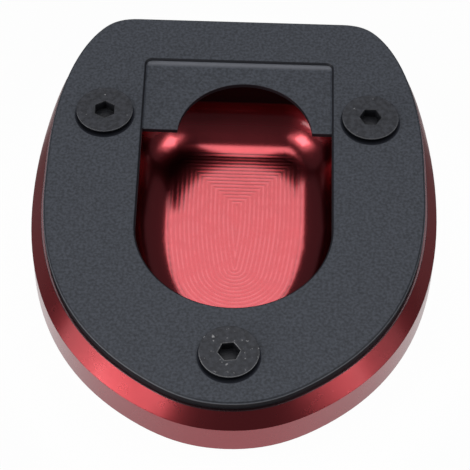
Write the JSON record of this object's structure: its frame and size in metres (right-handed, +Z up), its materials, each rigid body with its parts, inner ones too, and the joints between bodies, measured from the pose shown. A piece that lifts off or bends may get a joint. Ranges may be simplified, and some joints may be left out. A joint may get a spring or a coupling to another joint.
{
  "type": "kickstand foot enlarger",
  "caption": "Flat plate that widens a motorbike side stand's foot: bevelled red base with a rounded pocket, under a black cover plate with a notched lip and countersunk screws.",
  "frame": {"origin": "centre of the flat ground face, in the middle of the base's length and width", "axes": "+Z up from the ground, -Y towards the round nose, +Y towards the straight back, +X to the right seen from the nose side"},
  "size_m": [0.0846, 0.104, 0.0181],
  "materials": {
    "red_anodised": "milled and clear red anodised, satin",
    "black_anodised": "bead blasted and black anodised, matt",
    "black_steel": "black oxide, satin"
  },
  "bodies": {
    "root": {"base_plate": "red_anodised", "cover_plate": "black_anodised", "countersunk_screws": "black_steel"}
  },
  "joints": []
}
